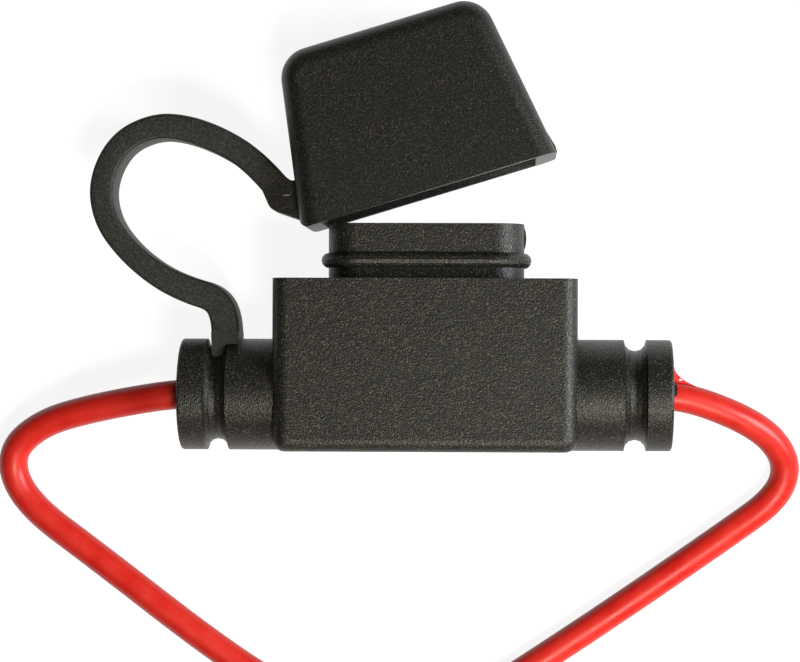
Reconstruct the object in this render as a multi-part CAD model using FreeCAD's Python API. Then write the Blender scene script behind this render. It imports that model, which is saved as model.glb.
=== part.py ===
"""In-line holder for a mini blade fuse, with its cap swung open on a strap.

Frame, in millimetres: the holder lies on its broad back, which is the plane Z = 0.
X runs along the two lead bosses, Y points from the lead axis towards the fuse
socket and the cap, and the origin is under the middle of the lead axis.
"""
import FreeCAD, Part
import math
import os
from FreeCAD import Rotation, Vector

# Body block, a little deeper than the cap that stands on it
body_width = 28.95
body_step = 0.2
body_top = 11.1
body_edge_radius = 1.4
body_bottom_radius = 1.2

# Lead bosses at both ends, each with a tie groove; rounds are turned in short straight steps
boss_radius = 5.36
boss_reach = 9.12
boss_end_round = 0.25
flange_width = 2.45
groove_radius = 1.08
groove_steps = 6
end_round_steps = 2

# Neck that the cap closes over, with its sealing bead and latch nub
neck_width = 18.8
neck_depth = 8.0
neck_height = 5.3
neck_corner_radius = 2.8
bead_radius = 0.72
bead_proud = 0.7
bead_above_body = 1.8
bead_steps = 6
nub_radius = 3.0
nub_proud = 0.2
nub_length = 2.6
nub_above_body = 3.95

# Fuse: blades of the standard mini size and the socket for the fuse's foot
blade_pitch = 8.05
blade_width = 2.8
blade_thickness = 0.8
socket_wall = 1.9
socket_width = neck_width - 2 * socket_wall
socket_depth = 5.0
socket_floor_depth = 7.2
socket_corner_radius = 0.8
socket_mouth_chamfer = 0.3

# Rolled terminals with their crimps
sheet = 0.35
curl_radius = 0.82
receptacle_length = 6.3
receptacle_below_floor = 0.6
terminal_clearance = 0.2
terminal_step = 0.8
strand_crimp_length = 2.4
sleeve_crimp_length = 2.1
crimp_notch = 0.3
crimp_clearance = 0.02

# Lead, its bends turned in short straight steps
lead_diameter = 2.8
lead_turn_step = 12.0
strand_diameter = 1.0
lead_bore_clearance = 0.1
crimp_bore_clearance = 0.15

# Cap, measured closed: its walls stand round the neck's bead
cap_wall = 1.0
cap_end_wall = 2.04
cap_height = 16.55
cap_end_draft = 8.95
cap_side_draft = 2.5
cap_corner_radius = 3.0
cap_edge_radius = 1.9
cap_roof = 1.4
cap_gap = 0.15
cavity_end_clearance = 0.55
cavity_side_clearance = 0.3
cavity_corner_radius = 1.6
rim_corner_radius = 0.8
lip_proud = 0.1
lip_height = 2.8
lip_width = 6.0
lip_flat = 0.7

# How far the open cap has swung from its closed place
open_angle = 16.9
open_lift = 8.17
open_shift = 0.3

# Tether strap, thicker towards its foot and towards the cap
strap_thickness = 2.21
strap_foot_swell = 0.44
strap_cap_swell = 0.31
strap_foot_swell_ends = (0.14, 0.40)
strap_cap_swell_ends = (0.60, 0.86)
strap_width = 4.7
strap_steps = 36
strap_arc_fit = 0.02
foot_above_boss = 0.64
foot_sink = 2.6
foot_inside_groove = 0.79

# Points that pull the strap's middle line, measured from its foot and from its cap end
strap_from_foot = [(-0.05, 1.52), (-1.03, 3.27), (-3.60, 3.98), (-6.55, 5.37), (-9.51, 7.78),
                   (-11.70, 10.78), (-12.18, 14.44)]
strap_from_cap = [(-14.85, 3.91), (-11.49, 5.54), (-8.36, 5.33), (-4.85, 4.02)]
strap_cap_pull = 2.75

# Root of the strap on the cap's end wall, measured from the foot of that wall with the cap
# closed: the middle of its cut, the way the strap leaves it, and its other corners with radii
root_middle = (-1.46, 5.22)
root_leave_angle = 114.0
root_corners = [
    (-2.39, 2.84, 1.3),
    (0.15, 1.00, 0.0),
    (2.00, 0.70, 0.0),
    (2.00, 4.90, 0.0),
    (0.36, 4.84, 0.5),
]

# Depths that follow from the walls round the bead
cap_depth = neck_depth + 2 * (bead_proud + cavity_side_clearance + cap_wall)
cap_length = neck_width + 2 * (bead_proud + cavity_end_clearance + cap_end_wall)
body_depth = cap_depth + 2 * body_step
mid_z = body_depth / 2

# Corners of the lead's free loop, chosen by hand: it leaves both bosses level and
# sinks to the surface that the holder lies on
lead_loop = [
    (-28.8, 0.0, mid_z),
    (-38.4, -2.7, 3.3),
    (-41.2, -6.15, 2.1),
    (-40.35, -10.1, 1.4),
    (-8.6, -34.15, 1.4),
    (-0.5, -34.35, 1.4),
    (34.4, -10.5, 1.4),
    (35.45, -6.6, 2.2),
    (33.6, -2.95, 3.6),
    (27.6, 0.0, mid_z),
]

# Places that follow from the sizes
body_bottom = -boss_radius
neck_top = body_top + neck_height
socket_floor = neck_top - socket_floor_depth
boss_end = body_width / 2 + boss_reach
groove_x = boss_end - flange_width - groove_radius
rim_y = body_top + cap_gap
overlap = 1.0

blade_x = blade_pitch / 2
curl_outer = curl_radius + sheet / 2
receptacle_half = blade_width / 2 - 0.2 + curl_outer
receptacle_top = socket_floor - receptacle_below_floor
receptacle_bottom = receptacle_top - receptacle_length
plate_low = mid_z - blade_thickness / 2 - sheet
strand_crimp_x = blade_x + receptacle_half + 0.4
strand_crimp_end = strand_crimp_x + strand_crimp_length
sleeve_crimp_x = strand_crimp_end + terminal_step
sleeve_crimp_end = sleeve_crimp_x + sleeve_crimp_length
sleeve_crimp_radius = lead_diameter / 2 + crimp_clearance + sheet
lead_start = sleeve_crimp_x - 0.3


def point(x, y):
    """A point in the middle plane of the holder."""
    return Vector(x, y, mid_z)


def rounded_corner(before, corner, after, radius):
    """The arc of one radius that rounds a corner, as its two ends and its middle."""
    inward = (corner - before).normalize()
    outward = (after - corner).normalize()
    half_turn = inward.getAngle(outward) / 2
    cut = radius * math.tan(half_turn)
    towards_centre = (outward - inward).normalize()
    middle = corner + towards_centre * (radius / math.cos(half_turn) - radius)
    return corner - inward * cut, middle, corner + outward * cut


def rounded_route(points, share=0.45):
    """Straight runs whose corners are turned in steps on arcs as large as their two runs allow."""
    spots = [points[0]]
    radii = []
    for before, corner, after in zip(points, points[1:], points[2:]):
        run = min((corner - before).Length, (after - corner).Length)
        half_turn = (corner - before).getAngle(after - corner) / 2
        radius = share * run / math.tan(half_turn)
        arc = Part.Arc(*rounded_corner(before, corner, after, radius))
        steps = math.ceil(2 * math.degrees(half_turn) / lead_turn_step)
        for step in range(steps + 1):
            spots.append(arc.value(arc.FirstParameter + (arc.LastParameter - arc.FirstParameter) * step / steps))
        radii.append(radius)
    return spots + [points[-1]], radii


def rounded_face(corners):
    """A face in the middle plane with corners (x, y, radius), sharp where the radius is 0."""
    spots = [point(x, y) for x, y, _ in corners]
    count = len(spots)
    edges = []
    ends = []
    for index, (_, _, radius) in enumerate(corners):
        spot = spots[index]
        if radius == 0:
            ends.append((spot, spot))
            continue
        start, middle, end = rounded_corner(spots[index - 1], spot, spots[(index + 1) % count], radius)
        edges.append(Part.Arc(start, middle, end).toShape())
        ends.append((start, end))
    for index in range(count):
        edges.append(Part.LineSegment(ends[index - 1][1], ends[index][0]).toShape())
    return Part.Face(Part.Wire(Part.__sortEdges__(edges)))


def extruded(face, width):
    """A face of the middle plane made into a slab of that width, even on both sides."""
    slab = face.extrude(Vector(0, 0, width))
    slab.translate(Vector(0, 0, -width / 2))
    return slab


def rounded_rectangle(width, depth, radius, y):
    """The outline, level at height y, of a post that stands along Y."""
    half_w = width / 2
    half_d = depth / 2
    slant = radius * math.sqrt(0.5)
    edges = []
    for across, along in ((1, 1), (-1, 1), (-1, -1), (1, -1)):
        centre = Vector(across * (half_w - radius), y, mid_z + along * (half_d - radius))
        on_end = centre + Vector(across * radius, 0, 0)
        on_side = centre + Vector(0, 0, along * radius)
        middle = centre + Vector(across * slant, 0, along * slant)
        edges.append(Part.Arc(on_end, middle, on_side).toShape())
    for sign in (1, -1):
        z = mid_z + sign * half_d
        edges.append(Part.LineSegment(Vector(radius - half_w, y, z), Vector(half_w - radius, y, z)).toShape())
        x = sign * half_w
        low = mid_z - half_d + radius
        high = mid_z + half_d - radius
        edges.append(Part.LineSegment(Vector(x, y, low), Vector(x, y, high)).toShape())
    return Part.Wire(Part.__sortEdges__(edges))


def post(width, depth, radius, low, high):
    """A solid of rounded rectangular section that stands from low to high along Y."""
    return Part.Face(rounded_rectangle(width, depth, radius, low)).extrude(Vector(0, high - low, 0))


def both_ends(shape):
    """A shape at +X and its mirror image at -X."""
    return [shape, shape.mirror(Vector(0, 0, 0), Vector(1, 0, 0))]


def rod_x(radius, low, high):
    """A round bar along the lead axis."""
    return Part.makeCylinder(radius, high - low, Vector(low, 0, mid_z), Vector(1, 0, 0))


def body_block():
    block = post(body_width, body_depth, body_edge_radius, body_bottom, body_top)
    bottom = [edge for edge in block.Edges if edge.BoundBox.YMax < body_bottom + 0.01]
    return block.makeFillet(body_bottom_radius, bottom)


def arc_points(x, y, radius, first_degrees, last_degrees, steps):
    """Points of the middle plane on an arc, evenly spread from its first to its last angle."""
    spots = []
    for step in range(steps + 1):
        angle = math.radians(first_degrees + (last_degrees - first_degrees) * step / steps)
        spots.append(point(x + radius * math.cos(angle), y + radius * math.sin(angle)))
    return spots


def boss():
    """The boss at +X, turned about the lead axis, with its tie groove."""
    inside = body_width / 2 - overlap
    rounded = boss_end_round
    spots = [point(inside, 0), point(inside, boss_radius)]
    spots += arc_points(groove_x, boss_radius, groove_radius, 180, 360, groove_steps)
    spots += arc_points(boss_end - rounded, boss_radius - rounded, rounded, 90, 0, end_round_steps)
    spots += [point(boss_end, 0), spots[0]]
    return Part.Face(Part.makePolygon(spots)).revolve(point(0, 0), Vector(1, 0, 0), 360)


def bead():
    """The round sealing bead that runs right round the neck."""
    set_back = bead_radius - bead_proud
    reach = math.degrees(math.acos(set_back / bead_radius))
    outlines = []
    for spot in arc_points(0, body_top + bead_above_body, bead_radius, -reach, reach, bead_steps):
        proud = spot.x - set_back
        outlines.append(rounded_rectangle(neck_width + 2 * proud, neck_depth + 2 * proud,
                                          neck_corner_radius + proud, spot.y))
    return Part.makeLoft(outlines, True, True)


def latch_nub():
    """The low rounded nub on the neck's far end, which the cap snaps past."""
    middle_y = body_top + nub_above_body
    low_z = mid_z - nub_length / 2
    centre = Vector(neck_width / 2 + nub_proud - nub_radius, middle_y, low_z)
    round_bar = Part.makeCylinder(nub_radius, nub_length, centre, Vector(0, 0, 1))
    skin = Part.makeBox(socket_wall / 2 + nub_proud, neck_height, nub_length,
                        Vector((neck_width - socket_wall) / 2, neck_top - neck_height, low_z))
    return round_bar.common(skin)


def eased(position, ends):
    """0 before the first end, 1 after the second, and a smooth rise between them."""
    share = min(max((position - ends[0]) / (ends[1] - ends[0]), 0), 1)
    return share * share * (3 - 2 * share)


def strap_thickness_at(position):
    """The strap's thickness at a position from 0 at its foot to 1 at the cap."""
    foot_part = strap_foot_swell * (1 - eased(position, strap_foot_swell_ends))
    cap_part = strap_cap_swell * eased(position, strap_cap_swell_ends)
    return strap_thickness + foot_part + cap_part


def across_strap(direction, position):
    """Half the strap's thickness as a vector, square to the way it runs."""
    return Vector(-direction.y, direction.x, 0) * (strap_thickness_at(position) / 2)


def foot_place():
    """The middle of the cut between the strap and its foot on the boss."""
    return point(foot_inside_groove - groove_x, boss_radius + foot_above_boss)


def strap_foot():
    top = foot_place()
    direction = Vector(*strap_from_foot[0], 0).normalize()
    across = across_strap(direction, 0)
    deep = top - direction * foot_sink
    face = Part.Face(Part.makePolygon([top + across, top - across, deep - across, deep + across, top + across]))
    return extruded(face, strap_width)


def receptacle_chambers():
    """Space for each terminal, open to the socket's floor and out through the boss."""
    gap = terminal_clearance
    plate_top = mid_z + curl_radius * 2 + sheet
    width = 2 * (receptacle_half + gap)
    low = sheet + crimp_clearance + lead_diameter / 2 + gap
    lowest = plate_low - gap
    box = Part.makeBox(width, socket_floor + low + overlap, plate_top - lowest,
                       Vector(blade_x - width / 2, -low, lowest))
    crimps = rod_x(sleeve_crimp_radius + crimp_bore_clearance, blade_x, sleeve_crimp_end + gap)
    bore = rod_x(lead_diameter / 2 + lead_bore_clearance, blade_x, boss_end + overlap)
    return box.fuse([crimps, bore])


def socket_pocket():
    """The rectangular well that takes the fuse's foot, with its mouth eased."""
    well = post(socket_width, socket_depth, socket_corner_radius, socket_floor, neck_top + overlap)
    lower = rounded_rectangle(socket_width, socket_depth, socket_corner_radius, neck_top - socket_mouth_chamfer)
    rise = 2 * socket_mouth_chamfer
    upper = rounded_rectangle(socket_width + 2 * rise, socket_depth + 2 * rise,
                              socket_corner_radius + rise, neck_top - socket_mouth_chamfer + rise)
    return well.fuse(Part.makeLoft([lower, upper], True, True))


def housing():
    """Block, bosses, neck, bead, nub and strap foot, moulded in one."""
    solid = body_block()
    neck = post(neck_width, neck_depth, neck_corner_radius, body_top - overlap, neck_top)
    solid = solid.fuse(both_ends(boss()) + [neck, bead(), latch_nub(), strap_foot()])
    hollows = [socket_pocket()] + both_ends(receptacle_chambers())
    return solid.cut(hollows).removeSplitter()


def rim_corner():
    """The space outside the rounded corner of the rim, under the strap's root."""
    foot = point(-cap_length / 2, rim_y)
    rise = math.tan(math.radians(cap_end_draft))
    start, middle, end = rounded_corner(foot + Vector(2 * rise, 2, 0), foot, foot + Vector(2, 0, 0),
                                        rim_corner_radius)
    outside = [end, end - Vector(0, overlap, 0), foot - Vector(overlap, overlap, 0),
               start - Vector(overlap, 0, 0), start]
    edges = [Part.Arc(start, middle, end).toShape()] + Part.makePolygon(outside).Edges
    return extruded(Part.Face(Part.Wire(Part.__sortEdges__(edges))), 2 * cap_depth)


def tapered_block(half_length, half_depth, height, low, corner_radius):
    """A block that narrows upwards from the rim by the cap's two drafts."""
    end_rise = math.tan(math.radians(cap_end_draft))
    side_rise = math.tan(math.radians(cap_side_draft))
    top = rim_y + height
    foot = half_length - low * end_rise
    head = half_length - height * end_rise
    front = rounded_face([
        (-foot, rim_y + low, 0), (foot, rim_y + low, 0),
        (head, top, corner_radius), (-head, top, corner_radius)])
    foot_z = half_depth - low * side_rise
    head_z = half_depth - height * side_rise
    side = Part.makePolygon([
        Vector(-cap_length, rim_y + low, mid_z - foot_z), Vector(-cap_length, rim_y + low, mid_z + foot_z),
        Vector(-cap_length, top, mid_z + head_z), Vector(-cap_length, top, mid_z - head_z),
        Vector(-cap_length, rim_y + low, mid_z - foot_z)])
    slab = Part.Face(side).extrude(Vector(2 * cap_length, 0, 0))
    return extruded(front, 4 * half_depth).common(slab)


def side_rim_edges(shape):
    """The edges where a tapered block's two broad sides meet its ends and its top."""
    found = []
    for edge in shape.Edges:
        box = edge.BoundBox
        middle = (box.ZMin + box.ZMax) / 2
        runs_across = box.ZLength > 1.5
        on_rim = box.YMax < rim_y + 0.01
        if not runs_across and not on_rim and abs(middle - mid_z) > 1:
            found.append(edge)
    return found


def cap_cavity():
    half_length = neck_width / 2 + bead_proud + cavity_end_clearance
    half_depth = neck_depth / 2 + bead_proud + cavity_side_clearance
    return tapered_block(half_length, half_depth, cap_height - cap_roof, -overlap, cavity_corner_radius)


def thumb_lip():
    """The small lip at the rim's far end that a thumb pushes up."""
    end = cap_length / 2
    rise = math.tan(math.radians(cap_end_draft))
    face = rounded_face([
        (end - overlap, rim_y, 0),
        (end + lip_proud, rim_y, 0.2),
        (end + lip_proud, rim_y + lip_flat, 0),
        (end - rise * lip_height, rim_y + lip_height, 0),
        (end - overlap, rim_y + lip_height, 0)])
    return extruded(face, lip_width)


def strap_root():
    """The block that carries the strap on the cap's end wall."""
    foot = -cap_length / 2
    angle = math.radians(root_leave_angle)
    half = strap_thickness_at(1) / 2
    corners = []
    for side in (1, -1):
        x = root_middle[0] + side * half * math.sin(angle)
        y = root_middle[1] - side * half * math.cos(angle)
        corners.append((x, y, 0.0))
    corners += root_corners
    return extruded(rounded_face([(foot + x, rim_y + y, radius) for x, y, radius in corners]), strap_width)


def swing_centre():
    """The point that the cap turns about between its closed and its open place."""
    half_gap = math.hypot(open_shift, open_lift) / 2
    reach = half_gap / math.tan(math.radians(open_angle / 2))
    lift_angle = math.atan2(open_lift, open_shift) + math.pi / 2
    middle = point(open_shift / 2, rim_y + open_lift / 2)
    return middle + Vector(math.cos(lift_angle), math.sin(lift_angle), 0) * reach


def opened(place):
    """Where a point of the closed cap lies once the cap has swung open."""
    turn = Rotation(Vector(0, 0, 1), open_angle)
    return swing_centre() + turn.multVec(place - swing_centre())


def cap():
    shell = tapered_block(cap_length / 2, cap_depth / 2, cap_height, 0, cap_corner_radius)
    shell = shell.makeFillet(cap_edge_radius, side_rim_edges(shell))
    shell = shell.fuse([thumb_lip(), strap_root()])
    shell = shell.cut([cap_cavity(), rim_corner()]).removeSplitter()
    shell.rotate(swing_centre(), Vector(0, 0, 1), open_angle)
    return shell


def tether_strap():
    """The bent band from the foot on the boss to the root on the cap."""
    foot = foot_place()
    end = opened(point(root_middle[0] - cap_length / 2, rim_y + root_middle[1]))
    leave = math.radians(root_leave_angle + open_angle)
    route = [foot]
    route += [foot + Vector(x, y, 0) for x, y in strap_from_foot]
    route += [end + Vector(x, y, 0) for x, y in strap_from_cap]
    route += [end + Vector(math.cos(leave), math.sin(leave), 0) * strap_cap_pull, end]
    print("strap route", [(round(spot.x, 3), round(spot.y, 3)) for spot in route])
    line = Part.BSplineCurve()
    line.buildFromPoles(route, False, 2)
    sides = [[], []]
    for step in range(strap_steps + 1):
        position = step / strap_steps
        place = line.FirstParameter + (line.LastParameter - line.FirstParameter) * position
        across = across_strap(line.tangent(place)[0], position)
        sides[0].append(line.value(place) + across)
        sides[1].append(line.value(place) - across)
    edges = [Part.LineSegment(sides[0][0], sides[1][0]).toShape(),
             Part.LineSegment(sides[0][-1], sides[1][-1]).toShape()]
    for spots in sides:
        curve = Part.BSplineCurve()
        curve.interpolate(spots)
        edges += [arc.toShape() for arc in curve.toBiArcs(strap_arc_fit)]
    return extruded(Part.Face(Part.Wire(Part.__sortEdges__(edges))), strap_width)


def receptacle():
    """Flat base with both edges rolled over onto the blade, along Y."""
    half = blade_width / 2 - 0.2
    centre_z = plate_low + sheet / 2 + curl_radius
    inner = curl_radius - sheet / 2
    outer = curl_radius + sheet / 2
    tip = math.radians(165)

    def on_curl(sign, radius, angle):
        return Vector(sign * (half + radius * math.cos(angle)), receptacle_bottom,
                      centre_z + radius * math.sin(angle))

    low = math.radians(-90)
    middle = (low + tip) / 2
    edges = []
    for sign in (1, -1):
        for radius in (inner, outer):
            arc = Part.Arc(on_curl(sign, radius, low), on_curl(sign, radius, middle), on_curl(sign, radius, tip))
            edges.append(arc.toShape())
        edges.append(Part.LineSegment(on_curl(sign, inner, tip), on_curl(sign, outer, tip)).toShape())
    for radius in (inner, outer):
        edges.append(Part.LineSegment(on_curl(-1, radius, low), on_curl(1, radius, low)).toShape())
    profile = Part.Face(Part.Wire(Part.__sortEdges__(edges)))
    solid = profile.extrude(Vector(0, receptacle_length, 0))
    solid.translate(Vector(blade_x, 0, 0))
    return solid


def crimp(inner_radius, low, high):
    """A rolled crimp round the lead axis, with the notch where its two wings meet."""
    tube = rod_x(inner_radius + sheet, low, high).cut(rod_x(inner_radius, low, high))
    notch = Part.makeBox(high - low, crimp_notch, inner_radius + sheet + overlap,
                         Vector(low, -crimp_notch / 2, mid_z))
    return tube.cut(notch)


def terminal():
    """The terminal at +X: receptacle, flag and two crimps of one sheet."""
    strand_radius = strand_diameter / 2 + crimp_clearance
    sleeve_radius = lead_diameter / 2 + crimp_clearance
    half = blade_width / 2 - 0.2
    stem = Part.makeBox(2 * half, receptacle_bottom + 2 * half, sheet,
                        Vector(blade_x - half, -half, plate_low))
    strand_low = mid_z - strand_radius - sheet
    sleeve_low = mid_z - sleeve_radius - sheet
    flag = Part.makeBox(strand_crimp_end - blade_x, 1.2, sheet, Vector(blade_x, -0.6, strand_low))
    join = Part.makeBox(0.6, 2 * half, plate_low - strand_low + sheet, Vector(blade_x + half - 0.6, -half, strand_low))
    ramp = Part.makePolygon([
        Vector(strand_crimp_end - sheet, -0.7, strand_low), Vector(strand_crimp_end - sheet, -0.7, strand_low + sheet),
        Vector(strand_crimp_end, -0.7, strand_low + sheet), Vector(sleeve_crimp_x, -0.7, sleeve_low + sheet),
        Vector(sleeve_crimp_x + sheet, -0.7, sleeve_low + sheet), Vector(sleeve_crimp_x + sheet, -0.7, sleeve_low),
        Vector(sleeve_crimp_x, -0.7, sleeve_low), Vector(strand_crimp_end - sheet, -0.7, strand_low)])
    step = Part.Face(ramp).extrude(Vector(0, 1.4, 0))
    step = step.common(rod_x(sleeve_crimp_radius, blade_x, sleeve_crimp_end))
    step = step.cut(rod_x(sleeve_radius, lead_start - crimp_clearance, sleeve_crimp_end))
    step = step.cut(rod_x(strand_radius, strand_crimp_x, strand_crimp_end))
    pieces = [stem, join, flag.cut(rod_x(strand_radius, blade_x, strand_crimp_end)), step]
    pieces.append(crimp(strand_radius, strand_crimp_x, strand_crimp_end))
    pieces.append(crimp(sleeve_radius, sleeve_crimp_x, sleeve_crimp_end))
    return receptacle().fuse(pieces).removeSplitter()


def lead_route():
    start = Vector(-lead_start, 0, mid_z)
    end = Vector(lead_start, 0, mid_z)
    return [start] + [Vector(*spot) for spot in lead_loop] + [end]


def lead_wire():
    spots, radii = rounded_route(lead_route())
    path = Part.makePolygon(spots)
    section = Part.Wire(Part.makeCircle(lead_diameter / 2, Vector(-lead_start, 0, mid_z), Vector(-1, 0, 0)))
    tube = path.makePipeShell([section], True, False, 1)
    area = math.pi * lead_diameter ** 2 / 4
    print("lead radii", [round(radius, 1) for radius in radii])
    print("lead length", round(path.Length, 1), "volume share", round(tube.Volume / (area * path.Length), 4))
    return tube


def strand_end():
    """The bared strands inside the strand crimp at +X."""
    return rod_x(strand_diameter / 2, strand_crimp_x - 0.2, lead_start)


def main():
    right_terminal, left_terminal = both_ends(terminal())
    right_strands, left_strands = both_ends(strand_end())
    nodes = {
        "housing": housing(),
        "cap": cap(),
        "tether_strap": tether_strap(),
        "left_terminal": left_terminal,
        "right_terminal": right_terminal,
        "lead_wire": lead_wire(),
        "left_strand_end": left_strands,
        "right_strand_end": right_strands,
    }
    os.makedirs("parts", exist_ok=True)
    for name, shape in nodes.items():
        shape.exportStep("parts/" + name + ".step")
        print(name, "solids", len(shape.Solids), "valid", shape.isValid(), "volume", round(shape.Volume, 1))
    centre = swing_centre()
    print("swing centre", round(centre.x, 3), round(centre.y, 3))


main()
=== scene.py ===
"""Looks of the mini fuse holder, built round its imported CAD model.

Lengths are written in millimetres and turned to metres where an object is made.
"""

import math

import bpy
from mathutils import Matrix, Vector


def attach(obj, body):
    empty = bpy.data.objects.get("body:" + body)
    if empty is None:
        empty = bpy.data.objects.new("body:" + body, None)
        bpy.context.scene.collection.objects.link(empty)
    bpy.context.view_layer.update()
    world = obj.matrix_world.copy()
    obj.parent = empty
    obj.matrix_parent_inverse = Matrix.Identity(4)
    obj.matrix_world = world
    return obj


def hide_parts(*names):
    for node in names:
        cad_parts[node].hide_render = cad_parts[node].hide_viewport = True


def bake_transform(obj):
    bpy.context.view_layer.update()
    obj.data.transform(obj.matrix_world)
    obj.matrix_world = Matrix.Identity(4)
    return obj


MM = 0.001

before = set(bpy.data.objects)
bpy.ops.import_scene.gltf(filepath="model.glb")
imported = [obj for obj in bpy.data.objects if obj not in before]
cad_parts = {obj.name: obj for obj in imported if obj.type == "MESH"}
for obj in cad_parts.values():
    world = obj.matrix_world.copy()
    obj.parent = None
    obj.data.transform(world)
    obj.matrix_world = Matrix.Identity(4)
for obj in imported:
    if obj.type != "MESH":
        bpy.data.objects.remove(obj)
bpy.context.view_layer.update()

# Sizes shared with the CAD model
mid_z = 6.2
boss_end = 23.6
lead_diameter = 2.8
strap_thickness = 2.21
strap_foot_swell = 0.44
strap_cap_swell = 0.31
strap_foot_swell_ends = (0.14, 0.40)
strap_cap_swell_ends = (0.60, 0.86)
strap_width = 4.7
strap_edge_radius = 0.32

# The lead's route, from one crimp round the free loop to the other
lead_route = [
    (-9.52, 0.0, 6.2),
    (-21.0, 0.0, 6.2),
    (-24.6, 0.0, 6.2),
    (-32.5, -1.4, 4.75),
    (-38.1, -3.05, 3.3),
    (-41.35, -6.2, 2.1),
    (-39.75, -10.85, 1.4),
    (-32.55, -16.15, 1.4),
    (-20.85, -25.1, 1.4),
    (-14.0, -29.4, 1.4),
    (-8.6, -34.0, 1.4),
    (-0.5, -34.2, 1.4),
    (3.5, -31.05, 1.4),
    (16.5, -22.55, 1.4),
    (29.45, -13.55, 1.4),
    (34.05, -10.2, 1.4),
    (35.25, -7.15, 2.2),
    (33.8, -4.3, 3.6),
    (30.5, -2.1, 5.1),
    (24.8, 0.0, 6.2),
    (20.5, 0.0, 6.2),
    (9.52, 0.0, 6.2),
]

# The strap's middle line, from its foot on the boss to its root on the cap
strap_route = [
    (-19.275, 6.0),
    (-19.325, 7.52),
    (-20.305, 9.27),
    (-22.875, 9.98),
    (-25.825, 11.37),
    (-28.785, 13.78),
    (-30.975, 16.78),
    (-31.455, 20.44),
    (-29.606, 24.211),
    (-26.246, 25.841),
    (-23.116, 25.631),
    (-19.606, 24.321),
    (-16.557, 22.38),
    (-14.756, 20.301),
]

# Where the strap bends: its share of the route
bend_from = 0.02
bend_to = 0.56

# Camera, from the photo's perspective
image_width = 800
camera_place = (8.44, 3.87, 257.9)
camera_target = (2.07, 5.39, 6.2)
camera_roll = 0.2
camera_shift = (-0.06, 0.01)
camera_distance_pixels = 2608


# Objects

def metres(spot):
    return Vector(spot) * MM


def placed(name, data):
    """A new object of that data in the scene."""
    piece = bpy.data.objects.new(name, data)
    bpy.context.scene.collection.objects.link(piece)
    return piece


def mesh_piece(name, spots, faces):
    """A new mesh object from corners in millimetres."""
    mesh = bpy.data.meshes.new(name)
    mesh.from_pydata([metres(spot) for spot in spots], [], faces)
    mesh.validate()
    return placed(name, mesh)


def ring_faces(rings, size):
    """Faces that join equal rings of corners one after the other and close both ends."""
    faces = [tuple(range(size)), tuple(reversed(range((rings - 1) * size, rings * size)))]
    for ring in range(rings - 1):
        here = ring * size
        there = here + size
        for corner in range(size):
            following = (corner + 1) % size
            faces.append((here + corner, there + corner, there + following, here + following))
    return faces


def clad(piece, material):
    piece.data.materials.clear()
    piece.data.materials.append(material)


def smoothed(piece, sharp_degrees):
    mesh = piece.data
    mesh.polygons.foreach_set("use_smooth", [True] * len(mesh.polygons))
    mesh.set_sharp_from_angle(angle=math.radians(sharp_degrees))


# Materials

def as_colour(value):
    return (*value, 1.0)


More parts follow.
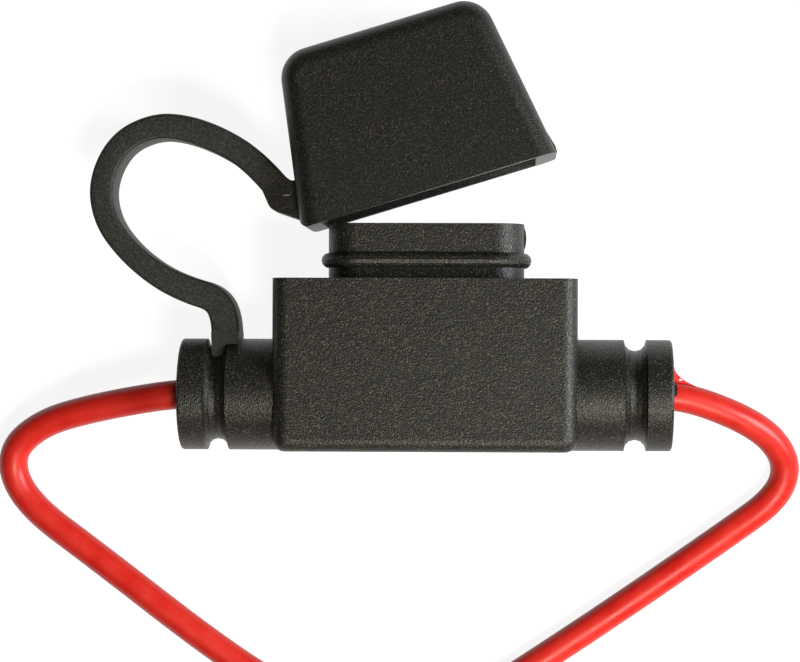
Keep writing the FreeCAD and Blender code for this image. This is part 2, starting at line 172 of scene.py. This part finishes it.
class Shader:
    """A new material's node tree with short calls for the nodes used here."""

    SOCKETS = {
        "base": "Base Color",
        "rough": "Roughness",
        "metal": "Metallic",
        "normal": "Normal",
        "specular": "Specular IOR Level",
        "subsurface": "Subsurface Weight",
        "subsurface_scale": "Subsurface Scale",
        "glow": "Emission Color",
        "glow_strength": "Emission Strength",
    }

    def __init__(self, name):
        self.material = bpy.data.materials.new(name)
        self.material.use_nodes = True
        self.tree = self.material.node_tree
        self.nodes = self.tree.nodes
        self.principled = self.nodes["Principled BSDF"]
        self.place = self.nodes.new("ShaderNodeTexCoord").outputs["Object"]

    def fill(self, socket, value):
        """Links another node's output to the socket, or writes a number or a colour into it."""
        if isinstance(value, bpy.types.NodeSocket):
            self.tree.links.new(value, socket)
        elif isinstance(value, tuple):
            socket.default_value = as_colour(value)
        else:
            socket.default_value = value

    def noise(self, per_mm, detail=3.0, roughness=0.55, stretch=None):
        node = self.nodes.new("ShaderNodeTexNoise")
        node.inputs["Scale"].default_value = per_mm / MM
        node.inputs["Detail"].default_value = detail
        node.inputs["Roughness"].default_value = roughness
        self.fill(node.inputs["Vector"], self.stretched(stretch))
        return node.outputs["Fac"]

    def cells(self, per_mm):
        node = self.nodes.new("ShaderNodeTexVoronoi")
        node.inputs["Scale"].default_value = per_mm / MM
        self.fill(node.inputs["Vector"], self.place)
        return node.outputs["Distance"]

    def stretched(self, stretch):
        if stretch is None:
            return self.place
        node = self.nodes.new("ShaderNodeMapping")
        node.inputs["Scale"].default_value = stretch
        self.fill(node.inputs["Vector"], self.place)
        return node.outputs["Vector"]

    def ramp(self, source, stops):
        node = self.nodes.new("ShaderNodeValToRGB")
        elements = node.color_ramp.elements
        elements[0].position, elements[0].color = stops[0][0], as_colour(stops[0][1])
        elements[1].position, elements[1].color = stops[-1][0], as_colour(stops[-1][1])
        for position, colour in stops[1:-1]:
            element = elements.new(position)
            element.color = as_colour(colour)
        self.fill(node.inputs["Fac"], source)
        return node.outputs["Color"]

    def levels(self, source, low, high, to_low, to_high):
        node = self.nodes.new("ShaderNodeMapRange")
        node.inputs["From Min"].default_value = low
        node.inputs["From Max"].default_value = high
        node.inputs["To Min"].default_value = to_low
        node.inputs["To Max"].default_value = to_high
        self.fill(node.inputs["Value"], source)
        return node.outputs["Result"]

    def math(self, operation, *values):
        node = self.nodes.new("ShaderNodeMath")
        node.operation = operation
        for socket, value in zip(node.inputs, values):
            self.fill(socket, value)
        return node.outputs["Value"]

    def inside(self, centre, half):
        """1 inside a box on the piece and 0 outside it."""
        split = self.nodes.new("ShaderNodeSeparateXYZ")
        self.fill(split.inputs["Vector"], self.place)
        x, y, z = (self.math("COMPARE", output, middle * MM, reach * MM)
                   for output, middle, reach in zip(split.outputs, centre, half))
        return self.math("MULTIPLY", self.math("MULTIPLY", x, y), z)

    def mix(self, factor, first, second):
        node = self.nodes.new("ShaderNodeMixRGB")
        for socket, value in zip(node.inputs, (factor, first, second)):
            self.fill(socket, value)
        return node.outputs["Color"]

    def bump(self, height, distance_mm, strength=1.0, after=None):
        node = self.nodes.new("ShaderNodeBump")
        node.inputs["Distance"].default_value = distance_mm * MM
        self.fill(node.inputs["Strength"], strength)
        self.fill(node.inputs["Height"], height)
        if after is not None:
            self.fill(node.inputs["Normal"], after)
        return node.outputs["Normal"]

    def seen(self, strength):
        """That strength on rays that show a surface to the camera, also by way of a gloss or a glass."""
        rays = self.nodes.new("ShaderNodeLightPath").outputs
        direct = self.math("MAXIMUM", rays["Is Camera Ray"], rays["Is Glossy Ray"])
        shown = self.math("MAXIMUM", direct, rays["Is Transmission Ray"])
        return self.math("MULTIPLY", shown, strength)

    def set(self, **values):
        for key, value in values.items():
            self.fill(self.principled.inputs[self.SOCKETS[key]], value)
        return self.material


plastic_tint = (1.0, 0.96, 0.80)
# Golden specks painted into the moulding's colour: painted glints on its spark-eroded pits
painted_glint_colour = (0.150, 0.135, 0.082)
block_dullness = 0.45
strap_dullness = 0.62

# The strap's foot is part of the housing's node and has the strap's smooth surface
foot_box = ((-19.28, 4.7, 6.2), (1.36, 1.4, 2.42))
foot_relief = 0.35
foot_level = 0.0185


def plastic_colour(level):
    return tuple(part * level for part in plastic_tint)


def black_plastic(name, depth, ground_level, dullness, foot=None):
    """Spark-eroded black moulding: fine pits that catch the light, golden specks in the colour as
    painted glints, with an even surface on the foot.
    """
    shader = Shader(name)
    grain = shader.noise(6.0, detail=2.0, roughness=0.6)
    # Noise that places the painted glints
    glint_noise = shader.noise(6.5, detail=1.0)
    pits = shader.cells(6.0)
    clouds = shader.noise(0.16, detail=2.0)
    low, middle, high = (plastic_colour(share * ground_level) for share in (0.32, 1.0, 3.6))
    ground = shader.ramp(grain, [(0.36, low), (0.50, middle), (0.66, high)])
    ground = shader.mix(shader.levels(clouds, 0.3, 0.7, 0.0, 0.3), ground, middle)
    glint_patches = shader.levels(shader.noise(0.7, detail=2.0), 0.35, 0.65, 0.65, 1.05)
    rough = shader.levels(grain, 0.3, 0.7, dullness + 0.05 * depth, dullness - 0.03 - 0.08 * depth)
    relief = 1.0
    if foot is not None:
        on_foot = shader.inside(*foot)
        relief = shader.levels(on_foot, 0.0, 1.0, 1.0, foot_relief)
        glint_patches = shader.math("MULTIPLY", glint_patches, relief)
        ground = shader.mix(on_foot, ground, plastic_colour(foot_level))
        duller = shader.levels(on_foot, 0.0, 1.0, 0.0, strap_dullness - dullness)
        rough = shader.math("ADD", rough, duller)
    # Painted glints: golden specks mixed into the base colour in slow patches
    painted_glints = shader.math("MULTIPLY", shader.levels(glint_noise, 0.59, 0.71, 0.0, 0.85 * depth), glint_patches)
    colour = shader.mix(painted_glints, ground, painted_glint_colour)
    fine = shader.bump(grain, 0.030 * depth, relief)
    both = shader.bump(pits, 0.028 * depth, relief, after=fine)
    return shader.set(base=colour, rough=rough, specular=0.5, normal=both)


def red_insulation():
    """Extruded soft plastic: an even red with slow waves and a little pale dust."""
    shader = Shader("red_insulation")
    waves = shader.noise(0.35, detail=2.0)
    dust = shader.noise(5.0, detail=3.0, roughness=0.7)
    ground = shader.ramp(waves, [(0.3, (0.74, 0.018, 0.011)), (0.7, (0.86, 0.034, 0.022))])
    colour = shader.mix(shader.levels(dust, 0.62, 0.8, 0.0, 0.25), ground, (0.85, 0.22, 0.18))
    rough = shader.levels(waves, 0.3, 0.7, 0.34, 0.46)
    soft = shader.bump(waves, 0.05)
    fine = shader.bump(dust, 0.006, after=soft)
    return shader.set(base=colour, rough=rough, specular=0.45, normal=fine, subsurface=0.08,
                      subsurface_scale=0.6 * MM)


def metal(name, low, high, rough_low, rough_high):
    """Bright sheet or wire with rolling marks and a slow change of tint."""
    shader = Shader(name)
    tint = shader.noise(0.8, detail=3.0)
    marks = shader.noise(6.0, detail=2.0, stretch=(0.15, 1.0, 1.0))
    colour = shader.ramp(tint, [(0.3, low), (0.7, high)])
    rough = shader.levels(marks, 0.3, 0.7, rough_low, rough_high)
    return shader.set(base=colour, metal=1.0, rough=rough, normal=shader.bump(marks, 0.004))


coarse_plastic = black_plastic("coarse_moulding", 1.0, 0.009, block_dullness, foot_box)
cap_plastic = black_plastic("cap_moulding", 0.6, 0.009, block_dullness)
strap_plastic = black_plastic("strap_moulding", 0.35, 0.0155, strap_dullness)
red = red_insulation()
brass = metal("terminal_brass", (0.62, 0.47, 0.22), (0.80, 0.63, 0.34), 0.22, 0.36)
tinned = metal("tinned_strand", (0.60, 0.58, 0.55), (0.78, 0.75, 0.70), 0.28, 0.45)

solid_sharp_degrees = 32
node_looks = {
    "housing": coarse_plastic,
    "cap": cap_plastic,
    "left_terminal": brass,
    "right_terminal": brass,
    "left_strand_end": tinned,
    "right_strand_end": tinned,
}
for node_name, look in node_looks.items():
    clad(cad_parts[node_name], look)
    smoothed(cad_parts[node_name], solid_sharp_degrees)


# Strap: one moulded band, made as three lengths; the lower one rides the housing, the upper one the cap,
# and the middle one stays where it is made

strap_edge_steps = 5
strap_sharp_degrees = 40


def along_route(route, position):
    """Place and direction on the smooth curve that the route's corners pull, position from 0 to 1."""
    spots = [Vector(spot) for spot in route]
    runs = len(spots) - 2
    run = min(int(position * runs), runs - 1)
    t = position * runs - run
    first = spots[0] if run == 0 else (spots[run] + spots[run + 1]) / 2
    corner = spots[run + 1]
    last = spots[-1] if run == runs - 1 else (spots[run + 1] + spots[run + 2]) / 2
    place = first * (1 - t) ** 2 + corner * (2 * t * (1 - t)) + last * t ** 2
    direction = (corner - first) * (1 - t) + (last - corner) * t
    return place, direction.normalized()


def eased(position, ends):
    """0 before the first end, 1 after the second, and a smooth rise between them."""
    share = min(max((position - ends[0]) / (ends[1] - ends[0]), 0), 1)
    return share * share * (3 - 2 * share)


def strap_thickness_at(position):
    foot_part = strap_foot_swell * (1 - eased(position, strap_foot_swell_ends))
    cap_part = strap_cap_swell * eased(position, strap_cap_swell_ends)
    return strap_thickness + foot_part + cap_part


def band_section(thickness):
    """The strap's section as pairs across its thickness and along Z, with rounded edges."""
    flat_t = thickness / 2 - strap_edge_radius
    flat_w = strap_width / 2 - strap_edge_radius
    section = []
    for quarter, (side_t, side_w) in enumerate(((1, 1), (-1, 1), (-1, -1), (1, -1))):
        for step in range(strap_edge_steps + 1):
            angle = math.radians(90 * (quarter + step / strap_edge_steps))
            across = side_t * flat_t + strap_edge_radius * math.cos(angle)
            up = side_w * flat_w + strap_edge_radius * math.sin(angle)
            section.append((across, up))
    return section


def strap_piece(name, first, last, count):
    """A closed length of the strap between two positions on its route."""
    spots = []
    for index in range(count + 1):
        position = first + (last - first) * index / count
        place, direction = along_route(strap_route, position)
        side = Vector((direction.y, -direction.x))
        section = band_section(strap_thickness_at(position))
        for across, up in section:
            flat = place + side * across
            spots.append((flat.x, flat.y, mid_z + up))
    piece = mesh_piece(name, spots, ring_faces(count + 1, len(section)))
    smoothed(piece, strap_sharp_degrees)
    clad(piece, strap_plastic)
    return piece


strap_lower = strap_piece("strap_lower", 0.0, bend_from, 4)
strap_bend = strap_piece("strap_bend", bend_from, bend_to, 124)
strap_upper = strap_piece("strap_upper", bend_to, 1.0, 78)
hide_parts("tether_strap")
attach(strap_lower, "housing")
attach(strap_upper, "cap")
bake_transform(strap_bend)


# Lead: one length of wire that leaves one boss, lies in a loop and goes into the other

def smooth_cord(name, route, diameter):
    curve = bpy.data.curves.new(name, "CURVE")
    curve.dimensions = "3D"
    curve.bevel_depth = diameter / 2 * MM
    curve.bevel_resolution = 8
    curve.resolution_u = 16
    curve.use_fill_caps = True
    spline = curve.splines.new("NURBS")
    spline.points.add(len(route) - 1)
    for control, spot in zip(spline.points, route):
        control.co = (*metres(spot), 1.0)
    spline.order_u = 3
    spline.use_endpoint_u = True
    return placed(name, curve)


lead = smooth_cord("lead_wire_loop", lead_route, lead_diameter)
clad(lead, red)
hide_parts("lead_wire")
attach(lead, "housing")


# Small marks at the right-hand exit, a torn film of insulation and a lip of moulding flash,
# and a painted highlight on the strap's root, a thin sliver coloured light

web_outline = [(23.50, 2.90), (23.84, 2.88), (23.93, 2.47), (24.13, 2.12), (24.50, 1.76),
               (24.95, 1.42), (25.43, 1.17), (26.00, 0.90), (26.00, 0.20), (23.50, 0.60)]
web_hole = (24.50, 1.53)
web_hole_half = (0.17, 0.10)
web_hole_steps = 12
web_thickness = 0.36
flash_reach = [23.85, 24.06, 24.14, 24.08, 24.17, 24.02, 24.12, 23.96, 23.84]
flash_root = boss_end - 0.1
flash_angles = (-6.0, 58.0)
flash_gap = 0.005
flash_thickness = 0.07
# Place, size and outline of the painted highlight on the strap's root
highlight_dash_place = (-13.40, 19.10, 8.555)
highlight_dash_size = (0.62, 0.15, 0.03)
highlight_dash_corners = [(-1, -1), (1, -0.7), (0.8, 1), (-0.9, 0.8)]


def add_loop(curve, spots):
    spline = curve.splines.new("POLY")
    spline.points.add(len(spots) - 1)
    for control, spot in zip(spline.points, spots):
        control.co = (*metres((*spot, 0.0)), 1.0)
    spline.use_cyclic_u = True


def torn_web(name):
    """The thin red film that stretches from the lead to the boss's end face, with a hole in it."""
    curve = bpy.data.curves.new(name, "CURVE")
    curve.dimensions = "2D"
    curve.fill_mode = "BOTH"
    curve.extrude = web_thickness / 2 * MM
    add_loop(curve, web_outline)
    hole = []
    for step in range(web_hole_steps):
        turn = math.radians(360 * step / web_hole_steps)
        hole.append((web_hole[0] + web_hole_half[0] * math.cos(turn),
                     web_hole[1] + web_hole_half[1] * math.sin(turn)))
    add_loop(curve, hole)
    piece = placed(name, curve)
    piece.location = metres((0.0, 0.0, mid_z))
    clad(piece, red)
    return piece


def ragged_flash(name):
    """A lip of black moulding that runs a little way out over the lead, with an uneven edge."""
    inner = lead_diameter / 2 + flash_gap
    outer = inner + flash_thickness
    spots = []
    for index, reach in enumerate(flash_reach):
        share = index / (len(flash_reach) - 1)
        turn = math.radians(flash_angles[0] + (flash_angles[1] - flash_angles[0]) * share)
        section = ((flash_root, inner), (flash_root, outer), (reach, outer), (reach, inner))
        for x, radius in section:
            spots.append((x, radius * math.sin(turn), mid_z + radius * math.cos(turn)))
    piece = mesh_piece(name, spots, ring_faces(len(flash_reach), len(section)))
    clad(piece, coarse_plastic)
    return piece


def painted_highlight_dash(name):
    """A thin sliver that lies just on the root's front face, coloured light as a painted highlight."""
    spots = []
    for level in (1, -1):
        for x, y in highlight_dash_corners:
            spots.append([middle + side * whole / 2
                          for middle, side, whole in zip(highlight_dash_place, (x, y, level), highlight_dash_size)])
    piece = mesh_piece(name, spots, ring_faces(2, len(highlight_dash_corners)))
    # A light colour on the sliver: a painted highlight
    clad(piece, Shader("painted_highlight_dash").set(base=(0.30, 0.29, 0.21), rough=0.45))
    return piece


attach(torn_web("insulation_web"), "housing")
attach(ragged_flash("moulding_flash"), "housing")
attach(painted_highlight_dash("root_highlight_dash"), "cap")


# Floor, lights and camera

floor_half = 2500
floor_glow = 0.9
world_strength = 0.02


def floor_look():
    """White paper that keeps the shadow and still shows as white to the camera."""
    shader = Shader("white_floor")
    return shader.set(base=(0.3, 0.3, 0.3), rough=0.9, specular=0.1, glow=(1.0, 1.0, 1.0),
                      glow_strength=shader.seen(floor_glow))


def make_floor():
    corners = [(x * floor_half, y * floor_half, 0) for x, y in ((-1, -1), (1, -1), (1, 1), (-1, 1))]
    floor = mesh_piece("floor", corners, [(0, 1, 2, 3)])
    clad(floor, floor_look())


def area_light(name, place, target, size, power, colour):
    data = bpy.data.lights.new(name, "AREA")
    data.shape = "DISK"
    data.size = size * MM
    data.energy = power
    data.color = colour
    lamp = placed(name, data)
    lamp.location = metres(place)
    lamp.rotation_euler = (metres(target) - metres(place)).to_track_quat("-Z", "Y").to_euler()


def plain_world(strength):
    world = bpy.data.worlds.new("studio")
    bpy.context.scene.world = world
    world.use_nodes = True
    background = world.node_tree.nodes["Background"]
    background.inputs["Color"].default_value = (1.0, 1.0, 1.0, 1.0)
    background.inputs["Strength"].default_value = strength


def photo_camera():
    data = bpy.data.cameras.new("photo_camera")
    data.sensor_fit = "HORIZONTAL"
    data.lens = data.sensor_width * camera_distance_pixels / image_width
    data.clip_start = 0.01
    data.shift_x, data.shift_y = camera_shift
    camera = placed("photo_camera", data)
    place = metres(camera_place)
    forward = (metres(camera_target) - place).normalized()
    roll = math.radians(camera_roll)
    upright = Vector((-math.sin(roll), math.cos(roll), 0))
    right = forward.cross(upright).normalized()
    up = right.cross(forward)
    rotation = camera.matrix_world.to_3x3()
    rotation.col[0], rotation.col[1], rotation.col[2] = right, up, -forward
    camera.matrix_world = rotation.to_4x4()
    camera.location = place
    bpy.context.scene.camera = camera


make_floor()
plain_world(world_strength)
area_light("front_key", (60, -148, 285), (5, 0, 6), size=90, power=0.62, colour=(1.0, 0.95, 0.81))
area_light("right_side", (300, 10, 220), (5, 5, 6), size=150, power=1.25, colour=(0.92, 0.96, 1.0))
photo_camera()
bpy.context.scene.view_settings.view_transform = "Standard"
